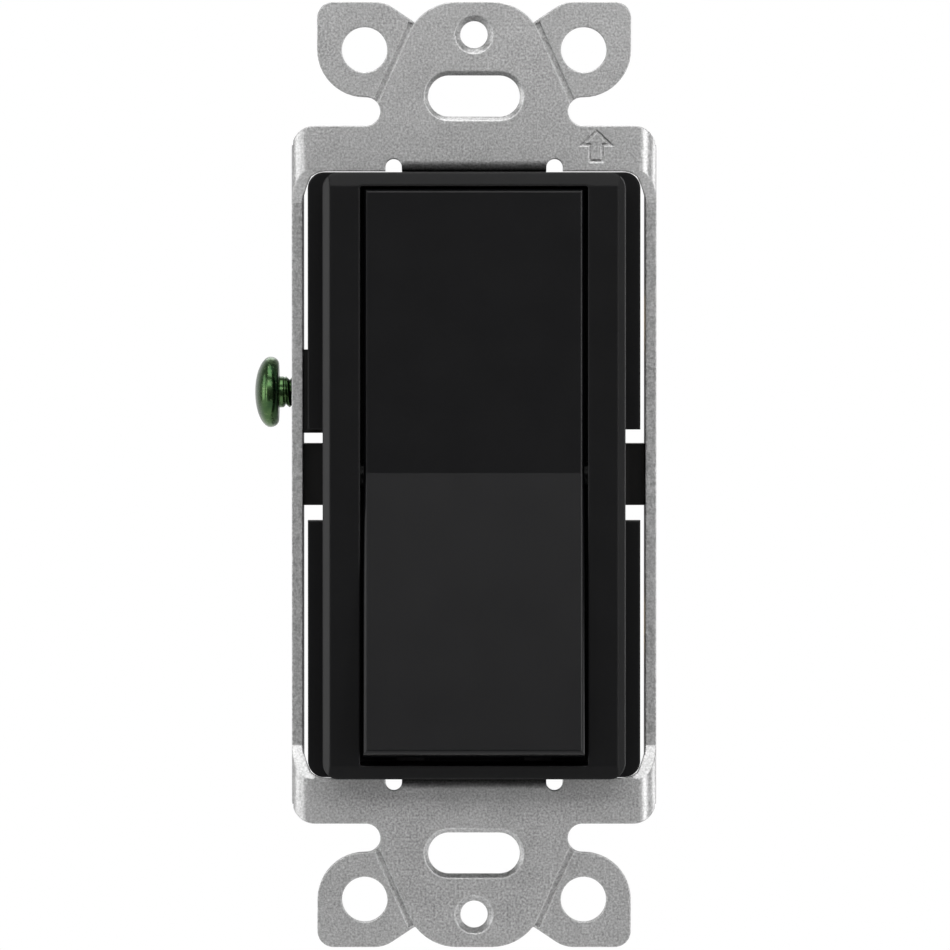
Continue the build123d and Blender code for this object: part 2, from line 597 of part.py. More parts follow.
def rear_housing():
    """Box behind the mid plate: chambers, lugs, ground boss, wire holes and strip gauge."""
    outer = RectangleRounded(HOUSING_WIDTH, HOUSING_HEIGHT, HOUSING_CORNER_R)
    body = prism(outer, (MID_BACK_Y, HOUSING_BACK_Y))
    body = fillet(body.faces().sort_by(Axis.Y)[-1].edges(), HOUSING_EDGE_R)
    inside = Rectangle(HOUSING_WIDTH - 2 * HOUSING_WALL, HOUSING_HEIGHT - 2 * HOUSING_WALL)
    body -= prism(inside, (MID_BACK_Y - PAST, STRIP_BACK_Y))
    for side in (-1, 1):
        z = side * TERMINAL_Z
        half = CHAMBER_HALF_Z + CHAMBER_WALL
        body += block(
            (CHAMBER_X - CHAMBER_WALL, HOUSING_WIDTH / 2 - HOUSING_WALL / 2),
            (CHAMBER_FRONT_Y - CHAMBER_WALL, STRIP_BACK_Y),
            (z - half, z + half),
        )
    for x, z in corners(SCREW_PILLAR_X, SCREW_PILLAR_Z):
        pillar = rod_y(HOUSING_SCREW_BOSS_R, x, (MID_BACK_Y, STRIP_BACK_Y + OVERLAP), z)
        body += pillar & prism(outer, (MID_BACK_Y, HOUSING_BACK_Y))
    for x, z in corners(SCREW_PILLAR_X, SCREW_PILLAR_Z):
        body -= rod_y(HOUSING_SCREW_HOLE_R, x, (MID_BACK_Y - PAST, HOUSING_BACK_Y), z)
        body -= rod_y(COUNTERBORE_R, x, (HOUSING_BACK_Y - HOUSING_SCREW_HEAD, HOUSING_BACK_Y + PAST), z)
    for side in (-1, 1):
        body -= terminal_chamber(side)
        body -= rod_y(WIRE_HOLE_R, WIRE_X, (STRIP_BACK_Y - PAST, HOUSING_BACK_Y + PAST), side * TERMINAL_Z)
        funnel = extrude(Plane.XZ * Circle(WIRE_HOLE_R + WIRE_FUNNEL), WIRE_FUNNEL, taper=RIM_TAPER)
        body -= Pos(WIRE_X, HOUSING_BACK_Y, side * TERMINAL_Z) * funnel
    gauge_y = (HOUSING_BACK_Y - GAUGE_DEPTH, HOUSING_BACK_Y + PAST)
    body -= block(GAUGE_X, gauge_y, (-GAUGE_HALF_Z, GAUGE_HALF_Z))
    wall_x = HOUSING_WIDTH / 2
    lug = block((wall_x - OVERLAP, LUG_OUTER_X), (MID_BACK_Y, LUG_BACK_Y), (-LUG_HALF_Z, LUG_HALF_Z))
    lug += block((LUG_OUTER_X - OVERLAP, NIB_X), NIB_Y, (-NIB_HALF_Z, NIB_HALF_Z))
    body += both_sides(lug)
    body += block((-LUG_OUTER_X, -wall_x + OVERLAP), (MID_BACK_Y, RAIL_BACK_Y), BOSS_Z)
    body += block((-LUG_OUTER_X, -wall_x - BOSS_CLEARANCE), (BOSS_FRONT_Y, MID_BACK_Y), BOSS_Z)
    body -= rod_x(GROUND_BORE_R, (-LUG_OUTER_X - PAST, GROUND_BORE_END_X), GROUND_Y, GROUND_Z)
    return body


def housing_screws():
    """Four screws from the back that clamp housing, mid plate and front frame."""
    screws = []
    for x, z in corners(SCREW_PILLAR_X, SCREW_PILLAR_Z):
        head_y = HOUSING_BACK_Y - HOUSING_SCREW_HEAD
        screw = rod_y(HOUSING_SCREW_R, x, (HOUSING_SCREW_TIP_Y, head_y), z)
        screw += rod_y(HOUSING_SCREW_HEAD_R, x, (head_y, HOUSING_BACK_Y), z)
        screws.append(screw)
    return Compound(children=screws)


def contact_arm():
    """See-saw arm that rocks on its cross pin."""
    half = ARM_THICKNESS / 2
    body = block((-ARM_HALF_WIDTH, ARM_HALF_WIDTH), (-half, half), (ARM_LOW_Z, ARM_HIGH_Z))
    body = fillet(body.edges().filter_by(Axis.Y), ARM_CORNER_R)
    body += rod_x(ARM_PIN_R, (-ARM_PIN_HALF, ARM_PIN_HALF), 0, 0)
    return turned(body, ARM_SWING / 2, ARM_PIVOT_Y)


def moving_contact():
    """Domed contact button on the arm's lower end."""
    half = ARM_THICKNESS / 2
    body = rod_y(CONTACT_R, 0, (half, half + CONTACT_HEIGHT), CONTACT_Z)
    dome_r = (CONTACT_R**2 + (CONTACT_HEIGHT - CONTACT_RIM) ** 2) / (2 * (CONTACT_HEIGHT - CONTACT_RIM))
    body &= Pos(0, half + CONTACT_HEIGHT - dome_r, CONTACT_Z) * Sphere(dome_r)
    return turned(body, ARM_SWING / 2, ARM_PIVOT_Y)


def fixed_contact():
    """Flat contact button on the load strip."""
    body = rod_y(CONTACT_R, 0, (FIXED_CONTACT_Y, STRIP_FRONT_Y), CONTACT_Z)
    return chamfer(body.edges().sort_by(Axis.Y)[0], CONTACT_CHAMFER)


def terminal_plate(z):
    """Upright plate that a terminal screw pulls the wire against."""
    body = block(TERMINAL_X, (TERMINAL_FRONT_Y, STRIP_BACK_Y), (z - TERMINAL_HALF_Z, z + TERMINAL_HALF_Z))
    return body - rod_x(SCREW_R + RUNNING_GAP, (TERMINAL_X[0] - PAST, TERMINAL_X[1] + PAST), SCREW_Y, z)


def load_terminal():
    """Lower terminal and the strip that carries the fixed contact."""
    z = -TERMINAL_Z
    strip_y = (STRIP_FRONT_Y, STRIP_BACK_Y)
    body = terminal_plate(z)
    body += block((STRIP_INNER_X, TERMINAL_X[1]), strip_y, (z - TERMINAL_HALF_Z, z + TERMINAL_HALF_Z))
    body += block((CONTACT_STRIP_X, STRIP_SIDE_X), strip_y, CONTACT_STRIP_Z)
    return body - rod_y(STRIP_WIRE_HOLE_R, WIRE_X, (STRIP_FRONT_Y - PAST, STRIP_BACK_Y + PAST), z)


def common_terminal():
    """Upper terminal and the strip that carries the arm's fulcrum cheeks."""
    z = TERMINAL_Z
    strip_y = (STRIP_FRONT_Y, STRIP_BACK_Y)
    body = terminal_plate(z)
    body += block((STRIP_INNER_X, TERMINAL_X[1]), strip_y, (z - TERMINAL_HALF_Z, z + TERMINAL_HALF_Z))
    body += block((STRIP_INNER_X, STRIP_SIDE_X), strip_y, (-STRIP_HALF_Z, z))
    body += block((-CHEEK_X[1], STRIP_SIDE_X), strip_y, (-STRIP_HALF_Z, STRIP_HALF_Z))
    cheek = block(CHEEK_X, (CHEEK_FRONT_Y, STRIP_FRONT_Y + OVERLAP), (-STRIP_HALF_Z, STRIP_HALF_Z))
    body += both_sides(cheek)
    notch_r = ARM_PIN_R + RUNNING_GAP
    across = (-CHEEK_X[1] - PAST, CHEEK_X[1] + PAST)
    body -= rod_x(notch_r, across, ARM_PIVOT_Y, 0)
    body -= block(across, (CHEEK_FRONT_Y - PAST, ARM_PIVOT_Y), (-notch_r, notch_r))
    return body - rod_y(STRIP_WIRE_HOLE_R, WIRE_X, (STRIP_FRONT_Y - PAST, STRIP_BACK_Y + PAST), z)


def clamp_plate(side):
    """Plate under a terminal screw's head."""
    x = (TERMINAL_X[1] + CLAMP_GAP, TERMINAL_X[1] + CLAMP_GAP + CLAMP_THICKNESS)
    z = side * TERMINAL_Z
    body = block(x, CLAMP_Y, (z - CLAMP_HALF_Z, z + CLAMP_HALF_Z))
    body = fillet(body.edges().filter_by(Axis.X), CLAMP_CORNER_R)
    return body - rod_x(CLAMP_HOLE_R, (x[0] - PAST, x[1] + PAST), SCREW_Y, z)


def terminal_screw(side):
    """Pan-head screw with a straight slot, pointing into the housing."""
    z = side * TERMINAL_Z
    under_head = TERMINAL_X[1] + 2 * CLAMP_GAP + CLAMP_THICKNESS
    head = rod_x(SCREW_HEAD_R, (under_head, under_head + SCREW_HEAD), SCREW_Y, z)
    head = fillet(head.edges().sort_by(Axis.X)[-1], SCREW_HEAD_EDGE_R)
    slot = block(
        (under_head + SCREW_HEAD - SCREW_SLOT_DEPTH, under_head + SCREW_HEAD + PAST),
        (SCREW_Y - SCREW_SLOT_WIDTH / 2, SCREW_Y + SCREW_SLOT_WIDTH / 2),
        (z - SCREW_HEAD_R - PAST, z + SCREW_HEAD_R + PAST),
    )
    shank = rod_x(SCREW_R, (SCREW_TIP_X, under_head), SCREW_Y, z)
    return head - slot + chamfer(shank.edges().sort_by(Axis.X)[0], SCREW_TIP_CHAMFER)


def wire_spring(side):
    """Bent leaf that grips a wire pushed in from the back."""
    wide = (WIRE_X - WIRE_SPRING_HALF_X, WIRE_X + WIRE_SPRING_HALF_X)
    back_z = TERMINAL_Z + LEAF_BACK_Z
    top_y = STRIP_FRONT_Y - LEAF_RISE
    seat = block(wide, (STRIP_FRONT_Y - LEAF, STRIP_FRONT_Y), (TERMINAL_Z + LEAF_SEAT_Z, back_z))
    upright = block(wide, (top_y, STRIP_FRONT_Y), (back_z - LEAF, back_z))
    leaf = Polygon(
        (top_y, back_z),
        (top_y, back_z - LEAF_SHOULDER),
        (STRIP_FRONT_Y - LEAF_TIP[0][0], TERMINAL_Z + LEAF_TIP[0][1]),
        (STRIP_FRONT_Y - LEAF_TIP[1][0], TERMINAL_Z + LEAF_TIP[1][1]),
        (top_y + LEAF, back_z),
        align=None,
    )
    body = seat + upright + Pos(WIRE_X, 0, 0) * side_prism(leaf, WIRE_SPRING_HALF_X)
    return body if side > 0 else mirror(body, Plane.XY)


def ground_screw():
    """Green ground screw, threaded into the left rail and backed out a little."""
    dome = Pos(GROUND_WIDEST_X, 0) * Ellipse(GROUND_WIDEST_X - GROUND_HEAD_X[0], GROUND_HEAD_R)
    profile = dome & rectangle((GROUND_HEAD_X[0], GROUND_WIDEST_X), (0, GROUND_HEAD_R))
    profile += Polygon(
        (GROUND_WIDEST_X, 0), (GROUND_WIDEST_X, GROUND_HEAD_R), (GROUND_HEAD_X[1], GROUND_UNDER_R),
        (GROUND_HEAD_X[1], 0),
        align=None,
    )
    head = Pos(0, GROUND_Y, GROUND_Z) * revolve(Plane.XY * profile, Axis.X)
    slot = block(
        (GROUND_HEAD_X[0] - PAST, GROUND_HEAD_X[0] + SCREW_SLOT_DEPTH),
        (GROUND_Y - SCREW_SLOT_WIDTH / 2, GROUND_Y + SCREW_SLOT_WIDTH / 2),
        (GROUND_Z - GROUND_HEAD_R - PAST, GROUND_Z + GROUND_HEAD_R + PAST),
    )
    shank = rod_x(GROUND_R, (GROUND_HEAD_X[1], GROUND_TIP_X), GROUND_Y, GROUND_Z)
    return head - slot + chamfer(shank.edges().sort_by(Axis.X)[-1], GROUND_TIP_CHAMFER)


def main():
    """Write one STEP file for each sub-part."""
    nodes = {
        "yoke": yoke(),
        "front_frame": front_frame(),
        "rocker_paddle": rocker_paddle(),
        "mid_plate": mid_plate(),
        "bumper_pads": bumper_pads(),
        "rear_housing": rear_housing(),
        "housing_screws": housing_screws(),
        "toggle_spring": toggle_spring(),
        "spring_plunger": spring_plunger(),
        "contact_arm": contact_arm(),
        "moving_contact": moving_contact(),
        "fixed_contact": fixed_contact(),
        "load_terminal": load_terminal(),
        "common_terminal": common_terminal(),
        "ground_screw": ground_screw(),
    }
    for end, side in (("upper", 1), ("lower", -1)):
        nodes[f"clamp_plate_{end}"] = clamp_plate(side)
        nodes[f"terminal_screw_{end}"] = terminal_screw(side)
        nodes[f"wire_spring_{end}"] = wire_spring(side)
    os.makedirs("parts", exist_ok=True)
    for name, shape in nodes.items():
        export_step(shape, f"parts/{name}.step")


main()
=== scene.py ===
import json
import math

import bmesh
import bpy
from mathutils import Matrix, Vector

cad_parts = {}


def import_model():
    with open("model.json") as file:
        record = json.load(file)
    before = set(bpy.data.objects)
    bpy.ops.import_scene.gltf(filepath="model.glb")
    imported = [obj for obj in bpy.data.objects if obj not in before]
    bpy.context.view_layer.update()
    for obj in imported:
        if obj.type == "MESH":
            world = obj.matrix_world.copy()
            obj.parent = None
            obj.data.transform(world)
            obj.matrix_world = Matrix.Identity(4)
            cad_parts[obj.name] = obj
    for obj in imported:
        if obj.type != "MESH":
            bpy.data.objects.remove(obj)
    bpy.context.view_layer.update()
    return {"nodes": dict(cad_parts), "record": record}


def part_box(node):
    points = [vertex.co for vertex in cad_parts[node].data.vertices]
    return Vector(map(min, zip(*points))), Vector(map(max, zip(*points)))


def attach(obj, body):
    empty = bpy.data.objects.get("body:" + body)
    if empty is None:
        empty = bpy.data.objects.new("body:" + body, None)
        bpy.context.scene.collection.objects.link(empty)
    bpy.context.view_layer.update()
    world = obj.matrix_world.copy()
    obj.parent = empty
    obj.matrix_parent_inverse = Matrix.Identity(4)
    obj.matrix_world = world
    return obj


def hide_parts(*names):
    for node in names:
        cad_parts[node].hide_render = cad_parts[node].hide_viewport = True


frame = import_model()
MM = 0.001

# ---- camera ----
CAMERA_DISTANCE = 0.80
CAMERA_YAW = math.radians(0.0)
CAMERA_PITCH = math.radians(1.1)
SENSOR = 36.0
VIEW_SPAN = 104.5 * MM
TARGET = Vector((0.1 * MM, -1.2 * MM, 0.0))

# ---- finishes ----
LIGHTER_TONE = 1.25
ROUNDING_SAMPLES = 6
# reach and samples of the painted shade that darkens grooves
PAINTED_SHADE_REACH = 0.7 * MM
PAINTED_SHADE_SAMPLES = 8

# ---- floor ----
FLOOR_HALF = 0.6
FLOOR_FRONT_Y = -0.24
FLOOR_Z = -0.13

# ---- screws ----
THREAD_PITCH = 0.79375 * MM
THREAD_DEPTH = 0.36 * MM
THREAD_FADE = 0.3 * MM
RINGS_PER_PITCH = 10
SCREW_SEGMENTS = 56
TIP_CHAMFER = 0.45 * MM
TIP_LENGTH = 0.4 * MM
NECK_STEP = 0.1 * MM
SLOT_WIDTH = 1.0 * MM
SLOT_DEPTH = 1.1 * MM
SLOT_LENGTH = 12.0 * MM
SHARP_ANGLE = math.radians(35)

GROUND_WIDEST_X = -22.55 * MM
GROUND_DOME = 1.7 * MM
GROUND_HEAD_R = 3.9 * MM
GROUND_UNDER_X = -21.6 * MM
GROUND_UNDER_R = 3.1 * MM
GROUND_SHANK_R = 1.72 * MM
GROUND_THREAD_START = 0.45 * MM
GROUND_DOME_STEPS = 14
GROUND_UNDER_STEPS = 8

TERMINAL_SHANK_R = 1.98 * MM
TERMINAL_HEAD = 2.6 * MM
TERMINAL_EDGE_R = 0.9 * MM
TERMINAL_EDGE_STEPS = 8
TERMINAL_UNDER_CHAMFER = 0.25 * MM

HOUSING_HEAD_R = 1.9 * MM
HOUSING_HEAD = 1.0 * MM
HOUSING_EDGE_R = 0.35 * MM
HOUSING_EDGE_STEPS = 6
HOUSING_SEGMENTS = 36
HOUSING_SHANK_R = 0.9 * MM
HOUSING_TIP_R = 0.4 * MM
HOUSING_TIP_LENGTH = 0.6 * MM
HOUSING_THREAD_DEPTH = 0.25 * MM
CROSS_LENGTH = 2.1 * MM
CROSS_WIDTH = 0.55 * MM
CROSS_DEPTH = 0.6 * MM


def nodes_of(material):
    """Node tree of a new material, with its output shader."""
    material.use_nodes = True
    tree = material.node_tree
    return tree.nodes, tree.links, tree.nodes["Principled BSDF"]


def noise_node(nodes, links, vector, scale, detail, roughness=0.5):
    """Noise texture in object space; scale is in cells for each metre."""
    node = nodes.new("ShaderNodeTexNoise")
    node.inputs["Scale"].default_value = scale
    node.inputs["Detail"].default_value = detail
    node.inputs["Roughness"].default_value = roughness
    links.new(vector, node.inputs["Vector"])
    return node


def map_range(nodes, links, value, low, high, out_low, out_high):
    """Value stretched from one range to another."""
    node = nodes.new("ShaderNodeMapRange")
    node.inputs["From Min"].default_value = low
    node.inputs["From Max"].default_value = high
    node.inputs["To Min"].default_value = out_low
    node.inputs["To Max"].default_value = out_high
    links.new(value, node.inputs["Value"])
    return node.outputs["Result"]


def mix_colour(nodes, links, factor, first, second):
    """Colour between two, each a tuple or a socket; the Mix node's colours are its sockets 6 and 7."""
    node = nodes.new("ShaderNodeMix")
    node.data_type = "RGBA"
    links.new(factor, node.inputs["Factor"])
    for socket, colour in ((node.inputs[6], first), (node.inputs[7], second)):
        if isinstance(colour, tuple):
            socket.default_value = (*colour, 1.0)
        else:
            links.new(colour, socket)
    return node.outputs[2]


def bump_node(nodes, links, height, strength, distance, normal):
    """Bump from a height socket, over a normal."""
    node = nodes.new("ShaderNodeBump")
    node.inputs["Strength"].default_value = strength
    node.inputs["Distance"].default_value = distance
    links.new(height, node.inputs["Height"])
    links.new(normal, node.inputs["Normal"])
    return node.outputs["Normal"]


def edge_normal(nodes, radius):
    """Normal that rounds sharp edges by a radius."""
    node = nodes.new("ShaderNodeBevel")
    node.samples = ROUNDING_SAMPLES
    node.inputs["Radius"].default_value = radius
    return node.outputs["Normal"]


def metal(name, dark, light, rough, grain, grain_depth, edge=0.12 * MM, painted_groove_shade=0.0, cloud=0.12):
    """Plated or bare metal with a fine mottled grain and softened edges, and painted shade darkening its
    grooves when a groove shade colour is given.
    """
    material = bpy.data.materials.new(name)
    nodes, links, shader = nodes_of(material)
    place = nodes.new("ShaderNodeTexCoord").outputs["Object"]
    fine = noise_node(nodes, links, place, grain, 3.0, 0.6)
    broad = noise_node(nodes, links, place, grain * 0.09, 2.0)
    tone = nodes.new("ShaderNodeMath")
    tone.operation = "MULTIPLY_ADD"
    links.new(fine.outputs["Fac"], tone.inputs[0])
    tone.inputs[1].default_value = 1.0 - cloud
    links.new(map_range(nodes, links, broad.outputs["Fac"], 0.3, 0.7, 0.0, cloud), tone.inputs[2])
    spread = map_range(nodes, links, tone.outputs["Value"], 0.32, 0.68, 0.0, 1.0)
    colour = mix_colour(nodes, links, spread, dark, light)
    # painted shade: hollows within reach are darkened by ambient occlusion towards the given dark colour
    if painted_groove_shade:
        hollow = nodes.new("ShaderNodeAmbientOcclusion")
        hollow.inputs["Distance"].default_value = PAINTED_SHADE_REACH
        hollow.samples = PAINTED_SHADE_SAMPLES
        shade = map_range(nodes, links, hollow.outputs["AO"], 0.12, 0.45, 0.0, 1.0)
        colour = mix_colour(nodes, links, shade, (painted_groove_shade, painted_groove_shade, painted_groove_shade), colour)
    links.new(colour, shader.inputs["Base Color"])
    shader.inputs["Metallic"].default_value = 1.0
    links.new(
        map_range(nodes, links, fine.outputs["Fac"], 0.3, 0.7, rough - 0.06, rough + 0.06),
        shader.inputs["Roughness"],
    )
    rounded = edge_normal(nodes, edge)
    bumped = bump_node(nodes, links, fine.outputs["Fac"], 0.5, grain_depth, rounded)
    links.new(bumped, shader.inputs["Normal"])
    return material


def plastic(name, colour, rough, texture, depth, edge=0.15 * MM, gloss=0.22):
    """Moulded plastic with a fine spark-eroded texture and softened edges."""
    material = bpy.data.materials.new(name)
    nodes, links, shader = nodes_of(material)
    place = nodes.new("ShaderNodeTexCoord").outputs["Object"]
    fine = noise_node(nodes, links, place, texture, 3.0, 0.55)
    broad = noise_node(nodes, links, place, texture * 0.03, 2.0)
    lighter = tuple(min(1.0, part * LIGHTER_TONE) for part in colour)
    tone = map_range(nodes, links, fine.outputs["Fac"], 0.35, 0.65, 0.0, 1.0)
    links.new(mix_colour(nodes, links, tone, colour, lighter), shader.inputs["Base Color"])
    links.new(
        map_range(nodes, links, broad.outputs["Fac"], 0.3, 0.7, rough - 0.015, rough + 0.015),
        shader.inputs["Roughness"],
    )
    shader.inputs["IOR"].default_value = 1.5
    shader.inputs["Specular IOR Level"].default_value = gloss
    rounded = edge_normal(nodes, edge)
    links.new(bump_node(nodes, links, fine.outputs["Fac"], 0.3, depth, rounded), shader.inputs["Normal"])
    return material


def dyed_zinc(name):
    """Glossy green dyed plating, uneven from the tumbling barrel."""
    material = bpy.data.materials.new(name)
    nodes, links, shader = nodes_of(material)
    place = nodes.new("ShaderNodeTexCoord").outputs["Object"]
    patch = noise_node(nodes, links, place, 420, 2.0)
    fine = noise_node(nodes, links, place, 3200, 3.0)
    tone = map_range(nodes, links, patch.outputs["Fac"], 0.35, 0.65, 0.0, 1.0)
    base = mix_colour(nodes, links, tone, (0.018, 0.050, 0.022), (0.070, 0.130, 0.050))
    speck = map_range(nodes, links, fine.outputs["Fac"], 0.60, 0.72, 0.0, 0.6)
    links.new(mix_colour(nodes, links, speck, base, (0.20, 0.28, 0.14)), shader.inputs["Base Color"])
    shader.inputs["Metallic"].default_value = 1.0
    links.new(map_range(nodes, links, fine.outputs["Fac"], 0.3, 0.7, 0.16, 0.30), shader.inputs["Roughness"])
    uneven = bump_node(nodes, links, patch.outputs["Fac"], 0.5, 0.10 * MM, edge_normal(nodes, 0.12 * MM))
    links.new(bump_node(nodes, links, fine.outputs["Fac"], 0.3, 0.015 * MM, uneven), shader.inputs["Normal"])
    return material


def paint_nodes():
    """Give every CAD node its finished material."""
    # the strap steel gets painted shade in its score grooves
    steel = metal(
        "strap_steel_plate", (0.335, 0.335, 0.335), (0.615, 0.615, 0.615), 0.42, 4200, 0.022 * MM,
        edge=0.22 * MM, painted_groove_shade=0.03, cloud=0.06,
    )
    zinc = metal("zinc_steel_plate", (0.42, 0.42, 0.43), (0.60, 0.60, 0.60), 0.34, 2200, 0.02 * MM)
    spring = metal("spring_steel_bare", (0.34, 0.34, 0.35), (0.5, 0.5, 0.5), 0.28, 1800, 0.01 * MM)
    brass = metal("brass_sheet", (0.62, 0.45, 0.19), (0.74, 0.55, 0.24), 0.30, 3600, 0.006 * MM, cloud=0.05)
    silver = metal("contact_silver_alloy", (0.66, 0.65, 0.62), (0.82, 0.81, 0.78), 0.26, 2400, 0.01 * MM)
    green = dyed_zinc("green_dyed_zinc")
    bezel = plastic("frame_black", (0.0021, 0.0021, 0.0024), 0.34, 5200, 0.006 * MM, edge=0.32 * MM)
    paddle = plastic("paddle_black", (0.0016, 0.0016, 0.0020), 0.32, 5200, 0.005 * MM, gloss=0.27)
    inner = plastic("inner_black", (0.0030, 0.0030, 0.0030), 0.5, 4000, 0.02 * MM)
    housing = plastic("housing_black", (0.0040, 0.0038, 0.0036), 0.46, 3600, 0.02 * MM)
    pads = plastic("pad_rubber_grey", (0.03, 0.03, 0.03), 0.75, 3000, 0.03 * MM)
    finishes = {
        "strap_steel": steel, "zinc_steel": zinc, "spring_steel": spring, "brass": brass,
        "brass_screw": brass, "contact_silver": silver, "green_screw": green, "frame_plastic": bezel,
        "paddle_plastic": paddle, "inner_plastic": inner, "housing_plastic": housing, "pad_rubber": pads,
    }
    for part in frame["record"]["subparts"]:
        node = frame["nodes"][part["node"]]
        node.data.materials.clear()
        node.data.materials.append(finishes[part["material_slot"]])
    return finishes


def piece_of(name, mesh):
    """Object in the scene from a bmesh."""
    data = bpy.data.meshes.new(name)
    mesh.to_mesh(data)
    mesh.free()
    piece = bpy.data.objects.new(name, data)
    bpy.context.collection.objects.link(piece)
    return piece


def lathe(name, rings, place, segments=SCREW_SEGMENTS):
    """Closed mesh turned about its X axis; each ring is (x, radius, thread depth)."""
    mesh = bmesh.new()
    loops = []
    for x, radius, depth in rings:
        loop = []
        for step in range(segments):
            share = step / segments
            groove = depth * abs(2 * ((x / THREAD_PITCH - share) % 1.0) - 1)
            angle = 2 * math.pi * share
            reach = radius - groove
            loop.append(mesh.verts.new((x, reach * math.cos(angle), reach * math.sin(angle))))
        loops.append(loop)
    for first, second in zip(loops, loops[1:]):
        for step in range(segments):
            after = (step + 1) % segments
            mesh.faces.new((first[step], first[after], second[after], second[step]))
    for loop, x in ((loops[0], rings[0][0]), (loops[-1], rings[-1][0])):
        pole = mesh.verts.new((x, 0, 0))
        for step in range(segments):
            mesh.faces.new((pole, loop[(step + 1) % segments], loop[step]))
    bmesh.ops.recalc_face_normals(mesh, faces=mesh.faces)
    mesh.transform(place)
    return piece_of(name, mesh)


def cut(piece, centre, size):
    """Take a box out of a piece."""
    mesh = bmesh.new()
    place = Matrix.Translation(centre) @ Matrix.Diagonal((*size, 1.0))
    bmesh.ops.create_cube(mesh, size=1.0, matrix=place)
    cutter = piece_of("cutter", mesh)
    modifier = piece.modifiers.new("cut", "BOOLEAN")
    modifier.operation = "DIFFERENCE"
    modifier.solver = "EXACT"
    modifier.object = cutter
    bpy.context.view_layer.update()
    evaluated = piece.evaluated_get(bpy.context.evaluated_depsgraph_get())
    shaped = bpy.data.meshes.new_from_object(evaluated)
    piece.modifiers.clear()
    piece.data = shaped
    bpy.data.objects.remove(cutter)


def finish_piece(piece, node, body, material):
    """Material, smoothing and the CAD node that a piece stands for."""
    piece.data.materials.clear()
    piece.data.materials.append(material)
    piece.data.shade_smooth()
    piece.data.set_sharp_from_angle(angle=SHARP_ANGLE)
    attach(piece, body)
    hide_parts(node)


def thread_rings(start, end, radius, depth):
    """Rings along a thread that runs out over a short length at both ends."""
    count = max(2, round(abs(end - start) / (THREAD_PITCH / RINGS_PER_PITCH)))
    rings = []
    for step in range(count + 1):
        x = start + (end - start) * step / count
        share = min(1.0, abs(x - start) / THREAD_FADE, abs(end - x) / THREAD_FADE)
        rings.append((x, radius, depth * share))
    return rings


def quarter_turn(steps, first=0):
    """Sines and cosines of a right angle's even parts."""
    angles = [math.pi / 2 * step / steps for step in range(first, steps + 1)]
    return [(math.sin(angle), math.cos(angle)) for angle in angles]


def rounded_edge(end_x, radius, edge, steps):
    """Rings round the outer edge of a flat head that ends at a plane."""
    return [
        (end_x - edge + edge * sine, radius - edge + edge * cosine, 0.0)
        for sine, cosine in quarter_turn(steps)
    ]


def ground_screw(green):
    """Green screw with a domed, slotted head and a threaded shank."""
    low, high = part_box("ground_screw")
    centre = Vector((0, (low[1] + high[1]) / 2, (low[2] + high[2]) / 2))
    rings = [
        (GROUND_WIDEST_X - GROUND_DOME * cosine, GROUND_HEAD_R * sine, 0.0)
        for sine, cosine in quarter_turn(GROUND_DOME_STEPS, 1)
    ]
    under_depth = GROUND_UNDER_X - GROUND_WIDEST_X
    rings += [
        (
            GROUND_WIDEST_X + under_depth * sine,
            GROUND_UNDER_R + (GROUND_HEAD_R - GROUND_UNDER_R) * cosine,
            0.0,
        )
        for sine, cosine in quarter_turn(GROUND_UNDER_STEPS, 1)
    ]
    rings.append((GROUND_UNDER_X, GROUND_SHANK_R + NECK_STEP, 0.0))
    rings.append((GROUND_UNDER_X + NECK_STEP, GROUND_SHANK_R, 0.0))
    tip = high[0]
    thread_start = GROUND_UNDER_X + GROUND_THREAD_START
    rings += thread_rings(thread_start, tip - TIP_LENGTH, GROUND_SHANK_R, THREAD_DEPTH)
    rings.append((tip, GROUND_SHANK_R - TIP_CHAMFER, 0.0))
    piece = lathe("ground_screw_threaded", rings, Matrix.Translation(centre))
    past_head = 2.0 * MM
    slot_x = GROUND_WIDEST_X - GROUND_DOME + (SLOT_DEPTH - past_head) / 2
    cut(piece, Vector((slot_x, centre.y, centre.z)), (SLOT_DEPTH + past_head, SLOT_WIDTH, SLOT_LENGTH))
    finish_piece(piece, "ground_screw", "ground", green)


def terminal_screw(end, brass):
    """Brass binding-head screw with a slot and a threaded shank."""
    node = f"terminal_screw_{end}"
    low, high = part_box(node)
    centre = Vector((0, (low[1] + high[1]) / 2, (low[2] + high[2]) / 2))
    head_r = (high[2] - low[2]) / 2
    under = high[0] - TERMINAL_HEAD
    rings = [(low[0], TERMINAL_SHANK_R - TIP_CHAMFER, 0.0)]
    rings += thread_rings(low[0] + TIP_LENGTH, under - NECK_STEP, TERMINAL_SHANK_R, THREAD_DEPTH)
    rings.append((under, TERMINAL_SHANK_R, 0.0))
    rings.append((under, head_r - TERMINAL_UNDER_CHAMFER, 0.0))
    rings.append((under + TERMINAL_UNDER_CHAMFER, head_r, 0.0))
    rings += rounded_edge(high[0], head_r, TERMINAL_EDGE_R, TERMINAL_EDGE_STEPS)
    piece = lathe(f"{node}_threaded", rings, Matrix.Translation(centre))
    cut(piece, Vector((high[0], centre.y, centre.z)), (2 * SLOT_DEPTH, SLOT_WIDTH, SLOT_LENGTH))
    finish_piece(piece, node, f"screw_{end}", brass)


